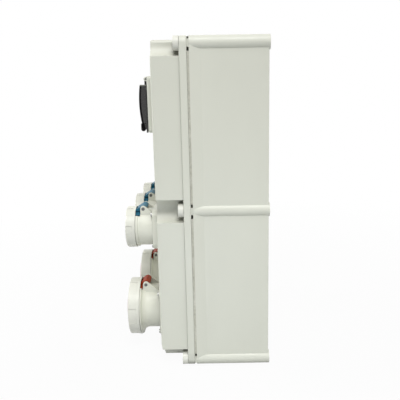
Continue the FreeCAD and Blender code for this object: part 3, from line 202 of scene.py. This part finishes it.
def moulded(name, colour, roughness=0.45, mottle=0.03, crevice=0.30, reach=0.012, shine=0.5):
    """Moulded plastic: faint flow mottling, fine grain, painted shade in crevices and paler edges."""
    material, tree, shader = new_material(name)
    place = place_in_object(tree)
    flow = spread(tree, noise(tree, place_in_object(tree, FLOW_STRETCH), FLOW_SIZE), 0.0, 1.0)
    tone = mix_colour(tree, flow, scaled(colour, 1 - mottle), scaled(colour, 1 + mottle))
    fleck = spread(tree, noise(tree, place, FLECK_SIZE, detail=1.0), 0.0, FLECK_MOST, *FLECK_LIMITS)
    tone = mix_colour(tree, fleck, tone, scaled(colour, FLECK_TONE))
    worn = edge_share(tree, MOULD_EDGE, WORN_MOST)
    tone = mix_colour(tree, worn, tone, scaled(colour, WORN_TONE))
    # Painted shade: the colour darkens in crevices and recesses, where shade falls
    crevice_shade = crevice_share(tree, reach, crevice)
    tone = mix_colour(tree, crevice_shade, tone, scaled(colour, CREVICE_SHADE_TONE - CREVICE_SHADE_DEEPENING * crevice))
    tree.links.new(tone, shader.inputs["Base Color"])
    gloss = noise(tree, place, GLOSS_SIZE, detail=5.0)
    gloss = spread(tree, gloss, roughness - GLOSS_SMOOTHER, roughness + GLOSS_ROUGHER)
    tree.links.new(gloss, shader.inputs["Roughness"])
    shader.inputs["Specular IOR Level"].default_value = shine
    grain = noise(tree, place, GRAIN_SIZE, detail=2.0)
    bump(tree, shader, grain, GRAIN_STRENGTH, GRAIN_DEPTH, MOULD_EDGE)
    return material


# Smoked flap, in its own coordinates. A pair of cosines, radii or half widths is where a mark's fade
# begins and where it ends, and the radii are about the centre of the front plate's arc

FLAP_HAZE_STRETCH = (0.25, 1, 1)
FLAP_HAZE_SIZE = 0.004
FLAP_HAZE_STRENGTH = 0.05
FLAP_HAZE_DEPTH = 0.00002
FLAP_EDGE = 0.0004
FLAP_SIDE_COSINES = (0.5, 0.9)
FLAP_ARC_CENTRE = (0.0, -0.0245, 0.1596)
# Painted shade: near black at the edge of the front plate and in the seams
FLAP_PLATE_RADII = (0.1658, 0.1662)
FLAP_SEAM_SHADE_REACH = 0.006
FLAP_SEAM_SHADE_MOST = 0.9
# Painted highlight: a pale glint along the top of the flap's sides
FLAP_GLINT_PLACE = (0.0, 0.0, 0.1845)
FLAP_GLINT_HALF_WIDTHS = (0.0007, 0.0011)
FLAP_SIDE_COLOURS = ((0.024, 0.023, 0.019), (0.046, 0.044, 0.038))
FLAP_FRONT_COLOUR = (0.17, 0.165, 0.15)
FLAP_SHADE_COLOUR = (0.003, 0.003, 0.003)
FLAP_GLINT_COLOUR = (0.20, 0.20, 0.17)
FLAP_ROUGHNESS = (0.10, 0.24)
FLAP_SHINE = 0.5
FLAP_SHADE_SHINE = 0.05
FLAP_FRONT_CLEARNESS = 0.95
FLAP_SIDE_CLEARNESS = 0.55
FLAP_IOR = 1.58


def smoked(name):
    """Smoked clear plastic with fine wipe marks, less clear on the flap's two sides. There the edge of
    its front plate and its seams get painted shade, near black, and a painted highlight runs pale
    along the top."""
    material, tree, shader = new_material(name)
    haze = noise(tree, place_in_object(tree, FLAP_HAZE_STRETCH), FLAP_HAZE_SIZE, detail=6.0)
    side = far_share(tree, (1, 0, 0), ORIGIN, *FLAP_SIDE_COSINES, source="Normal")
    plate = far_share(tree, (0, 1, 1), FLAP_ARC_CENTRE, *FLAP_PLATE_RADII)
    seams = crevice_share(tree, FLAP_SEAM_SHADE_REACH, FLAP_SEAM_SHADE_MOST)
    # Painted shade on the flap's sides, beyond the front plate's arc and in the seams
    dark = combine(tree, "MINIMUM", side, combine(tree, "MAXIMUM", plate, seams))
    # Painted highlight: a pale glint along the top of the flap's sides
    off_glint = far_share(tree, (0, 0, 1), FLAP_GLINT_PLACE, *FLAP_GLINT_HALF_WIDTHS)
    painted_glint = combine(tree, "MINIMUM", side, fade(tree, off_glint, 1.0, 0.0))

    tone = mix_colour(tree, spread(tree, haze, 0.0, 1.0), *FLAP_SIDE_COLOURS)
    tone = mix_colour(tree, side, FLAP_FRONT_COLOUR, tone)
    tone = mix_colour(tree, dark, tone, FLAP_SHADE_COLOUR)
    tone = mix_colour(tree, painted_glint, tone, FLAP_GLINT_COLOUR)
    tree.links.new(tone, shader.inputs["Base Color"])
    tree.links.new(spread(tree, haze, *FLAP_ROUGHNESS), shader.inputs["Roughness"])
    shine = fade(tree, dark, FLAP_SHINE, FLAP_SHADE_SHINE)
    tree.links.new(shine, shader.inputs["Specular IOR Level"])

    clearness = fade(tree, side, FLAP_FRONT_CLEARNESS, FLAP_SIDE_CLEARNESS)
    unmarked = fade(tree, combine(tree, "MAXIMUM", dark, painted_glint), 1.0, 0.0)
    clearness = combine(tree, "MULTIPLY", clearness, unmarked)
    tree.links.new(clearness, shader.inputs["Transmission Weight"])
    shader.inputs["IOR"].default_value = FLAP_IOR
    bump(tree, shader, haze, FLAP_HAZE_STRENGTH, FLAP_HAZE_DEPTH, FLAP_EDGE)
    return material


# Metal

ALONG_X = (0.1, 1, 1)
ALONG_Y = (1, 0.1, 1)
STREAK_SIZE = 0.0008
STREAK_STRENGTH = 0.2
STREAK_DEPTH = 0.00002
STREAK_SMOOTHER = 0.08
STREAK_ROUGHER = 0.12
PATCH_SIZE = 0.006
PATCH_TONES = (0.8, 1.1)
TARNISH_REACH = 0.003
TARNISH_MOST = 0.4
TARNISH_TONE = 0.3
METAL_EDGE = 0.0003


def metal(name, colour, roughness, stretch):
    """Drawn or plated metal: streaks along one way, dull patches and dark crevices."""
    material, tree, shader = new_material(name)
    streaks = noise(tree, place_in_object(tree, stretch), STREAK_SIZE, detail=4.0)
    patches = noise(tree, place_in_object(tree), PATCH_SIZE, detail=4.0)
    patch_colours = [scaled(colour, tone) for tone in PATCH_TONES]
    tone = mix_colour(tree, spread(tree, patches, 0.0, 1.0), *patch_colours)
    tarnish = crevice_share(tree, TARNISH_REACH, TARNISH_MOST)
    tone = mix_colour(tree, tarnish, tone, scaled(colour, TARNISH_TONE))
    tree.links.new(tone, shader.inputs["Base Color"])
    shader.inputs["Metallic"].default_value = 1.0
    gloss = spread(tree, streaks, roughness - STREAK_SMOOTHER, roughness + STREAK_ROUGHER)
    tree.links.new(gloss, shader.inputs["Roughness"])
    bump(tree, shader, streaks, STREAK_STRENGTH, STREAK_DEPTH, METAL_EDGE)
    return material


# Rubber and foam

PORE_TONES = (0.6, 1.2)
PORE_STRENGTH = 0.4
PORE_DEPTH_OF_SIZE = 0.15
BLOOM_SIZE = 0.02
BLOOM_LIMITS = (0.45, 0.75)
BLOOM_MOST = 0.25
BLOOM_TONE = 2.2
RUBBER_ROUGHNESS = (0.7, 0.9)


def rubber(name, colour, pore):
    """Rubber or foam: matt, with pores and a dusty bloom."""
    material, tree, shader = new_material(name)
    place = place_in_object(tree)
    pores = noise(tree, place, pore, detail=2.0)
    bloom = noise(tree, place, BLOOM_SIZE, detail=4.0)
    pore_colours = [scaled(colour, tone) for tone in PORE_TONES]
    tone = mix_colour(tree, spread(tree, pores, 0.0, 1.0), *pore_colours)
    dusty = spread(tree, bloom, 0.0, BLOOM_MOST, *BLOOM_LIMITS)
    tone = mix_colour(tree, dusty, tone, scaled(colour, BLOOM_TONE))
    tree.links.new(tone, shader.inputs["Base Color"])
    tree.links.new(spread(tree, bloom, *RUBBER_ROUGHNESS), shader.inputs["Roughness"])
    bump(tree, shader, pores, PORE_STRENGTH, pore * PORE_DEPTH_OF_SIZE)
    return material


# Looks by name: the record's material slots, apart from the smoked flap's, and two copies of its grey,
# one with deeper painted shade and one lighter as painted light

GREY = (0.655, 0.662, 0.578)
PLASTICS = {
    "grey_plastic": dict(colour=GREY),
    # Painted shade: the cover's scoops and recesses are darkened more deeply and over a longer reach
    # than on the plain grey
    "cover_plastic": dict(colour=GREY, crevice=0.65, reach=0.03),
    # Painted light: a lighter copy of the grey for the sockets' housings, where the necks catch the
    # light
    "socket_plastic": dict(colour=(0.695, 0.698, 0.61)),
    "pale_plastic": dict(colour=(0.70, 0.70, 0.625), roughness=0.4),
    # Painted shade: a strong crevice share darkens the blue and red straps where shade falls below
    # their knuckles
    "blue_plastic": dict(colour=(0.022, 0.135, 0.210), roughness=0.38, crevice=0.8, shine=0.15),
    "red_plastic": dict(colour=(0.29, 0.032, 0.004), roughness=0.38, crevice=0.8, shine=0.10),
    "black_plastic": dict(colour=(0.022, 0.022, 0.022), mottle=0.1),
    "breaker_plastic": dict(colour=(0.60, 0.60, 0.56), roughness=0.55),
    "lever_plastic": dict(colour=(0.028, 0.029, 0.033), roughness=0.42, mottle=0.08),
    "button": dict(colour=(0.62, 0.40, 0.035), roughness=0.4),
}
METALS = {
    "steel": dict(colour=(0.40, 0.40, 0.385), roughness=0.34, stretch=ALONG_X),
    "dark_steel": dict(colour=(0.15, 0.15, 0.145), roughness=0.38, stretch=ALONG_X),
    "brass": dict(colour=(0.68, 0.47, 0.19), roughness=0.28, stretch=ALONG_Y),
}
RUBBERS = {
    "rubber": dict(colour=(0.020, 0.020, 0.019), pore=0.0006),
    "foam": dict(colour=(0.52, 0.51, 0.43), pore=0.0009),
}


def make_materials():
    """One material for each slot of the record, and two copies of its grey plastic with painted shade
    and painted light.
    """
    materials = {"smoked_flap": smoked("smoked_flap")}
    for maker, looks in ((moulded, PLASTICS), (metal, METALS), (rubber, RUBBERS)):
        for name, look in looks.items():
            materials[name] = maker(name, **look)
    return materials


def look_of(name):
    """A node's material: its slot's, or a copy of it with deeper painted shade for the cover and
    painted light for the sockets' housings.
    """
    if name == "front_cover":
        return "cover_plastic"
    if name.endswith("_housing"):
        return "socket_plastic"
    return SLOT_OF_NODE[name]


def dress_nodes(materials):
    """Gives each CAD node its material and smooth shading across its round faces."""
    for name, node in NODES.items():
        node.data.materials.clear()
        node.data.materials.append(materials[look_of(name)])
        node.data.shade_smooth()
        node.data.set_sharp_from_angle(angle=SMOOTH_ANGLE)


# Stage: pale floor, white surroundings and soft lamps

FLOOR_GAP = 0.0005
FLOOR_HALF = 6.0
FLOOR_COLOUR = (0.5, 0.5, 0.5)
FLOOR_ROUGHNESS = 0.9
FLOOR_SHADE_NEAR = 0.35
FLOOR_SHADE_FAR = 1.1
FLOOR_GLOW_NEAR = 0.95
FLOOR_GLOW_FAR = 1.0
SKY = (0.97, 0.985, 1.0)
AMBIENT = 0.22
COOL = (0.84, 0.93, 1.0)
LAMPS = [
    # name, place, size, power, colour
    ("key", Vector((3.0, 0.3, 4.4)), 2.4, 222.0, WHITE),
    ("low", Vector((0.62, -0.14, -0.20)), 0.1, 0.36, COOL),
    ("front", Vector((-0.6, -2.4, 0.8)), 1.6, 40.0, WHITE),
    ("top", Vector((0.3, 0.0, 2.6)), 1.8, 6.0, WHITE),
    ("fill", Vector((-2.4, 1.2, 1.0)), 1.6, 26.0, WHITE),
]


def seen_directly(tree):
    """One for rays that show the surroundings, straight or in gloss and glass, and zero for light."""
    path = tree.nodes.new("ShaderNodeLightPath")
    total = path.outputs["Is Camera Ray"]
    for name in ("Is Glossy Ray", "Is Transmission Ray"):
        total = combine(tree, "MAXIMUM", total, path.outputs[name])
    return total


def show_mix(tree, share, first, second, output):
    """Shows a mix of two shaders at the tree's output."""
    mix = tree.nodes.new("ShaderNodeMixShader")
    tree.links.new(share, mix.inputs["Fac"])
    tree.links.new(first, mix.inputs[1])
    tree.links.new(second, mix.inputs[2])
    tree.links.new(mix.outputs["Shader"], tree.nodes[output].inputs["Surface"])


def make_world():
    """Surroundings that look white and light the object only a little."""
    world = bpy.data.worlds.new("studio")
    world.use_nodes = True
    bpy.context.scene.world = world
    tree = world.node_tree
    light = tree.nodes["Background"]
    light.inputs["Color"].default_value = (*SKY, 1.0)
    light.inputs["Strength"].default_value = AMBIENT
    white = add_node(tree, "ShaderNodeBackground", Color=(*WHITE, 1.0), Strength=1.0)
    shaders = (light.outputs["Background"], white.outputs["Background"])
    show_mix(tree, seen_directly(tree), *shaders, "World Output")


def make_floor():
    """A pale floor that looks white and keeps a soft shadow."""
    height = CAD_BOX[0].z - FLOOR_GAP
    signs = ((-1, -1), (1, -1), (1, 1), (-1, 1))
    corners = [(x * FLOOR_HALF, y * FLOOR_HALF, height) for x, y in signs]
    mesh = bpy.data.meshes.new("floor")
    mesh.from_pydata(corners, [], [(0, 1, 2, 3)])
    floor = bpy.data.objects.new("floor", mesh)
    bpy.context.scene.collection.objects.link(floor)
    material, tree, shader = new_material("floor")
    shader.inputs["Base Color"].default_value = (*FLOOR_COLOUR, 1.0)
    shader.inputs["Roughness"].default_value = FLOOR_ROUGHNESS
    glow = add_node(tree, "ShaderNodeEmission", Color=(*WHITE, 1.0), Strength=1.0)
    away = far_share(tree, (1, 1, 0), ORIGIN, FLOOR_SHADE_NEAR, FLOOR_SHADE_FAR)
    white = fade(tree, away, FLOOR_GLOW_NEAR, FLOOR_GLOW_FAR)
    share = combine(tree, "MULTIPLY", seen_directly(tree), white)
    show_mix(tree, share, shader.outputs["BSDF"], glow.outputs["Emission"], "Material Output")
    mesh.materials.append(material)


def make_lamps():
    """Round area lamps, all turned to the origin, the middle of the board's back."""
    for name, place, size, power, colour in LAMPS:
        light = bpy.data.lights.new(name, "AREA")
        light.shape = "DISK"
        light.size = size
        light.energy = power
        light.color = colour
        lamp = bpy.data.objects.new(name, light)
        lamp.location = place
        lamp.rotation_mode = "QUATERNION"
        lamp.rotation_quaternion = (-place).to_track_quat("-Z", "Y")
        bpy.context.scene.collection.objects.link(lamp)


def make_camera():
    """The photograph's camera. It looks along -X, turned by its yaw, pitch and roll."""
    data = bpy.data.cameras.new("camera")
    data.sensor_width = SENSOR_MM
    data.lens = SENSOR_MM * FOCAL_PIXELS / PHOTO_PIXELS
    data.shift_x = 0.5 - AXIS_PIXELS[0] / PHOTO_PIXELS
    data.shift_y = AXIS_PIXELS[1] / PHOTO_PIXELS - 0.5
    camera = bpy.data.objects.new("camera", data)
    bpy.context.scene.collection.objects.link(camera)
    ahead = Vector((
        -math.cos(CAMERA_YAW) * math.cos(CAMERA_PITCH),
        -math.sin(CAMERA_YAW) * math.cos(CAMERA_PITCH),
        -math.sin(CAMERA_PITCH),
    ))
    level = Vector((-math.sin(CAMERA_YAW), math.cos(CAMERA_YAW), 0.0))
    below = ahead.cross(level)
    right = level * math.cos(CAMERA_ROLL) + below * math.sin(CAMERA_ROLL)
    down = below * math.cos(CAMERA_ROLL) - level * math.sin(CAMERA_ROLL)
    turn = Matrix((right, -down, -ahead)).transposed()
    camera.matrix_world = Matrix.Translation(CAMERA_PLACE) @ turn.to_4x4()
    bpy.context.scene.camera = camera


bpy.context.scene.view_settings.view_transform = "Standard"
dress_nodes(make_materials())
make_world()
make_floor()
make_lamps()
make_camera()
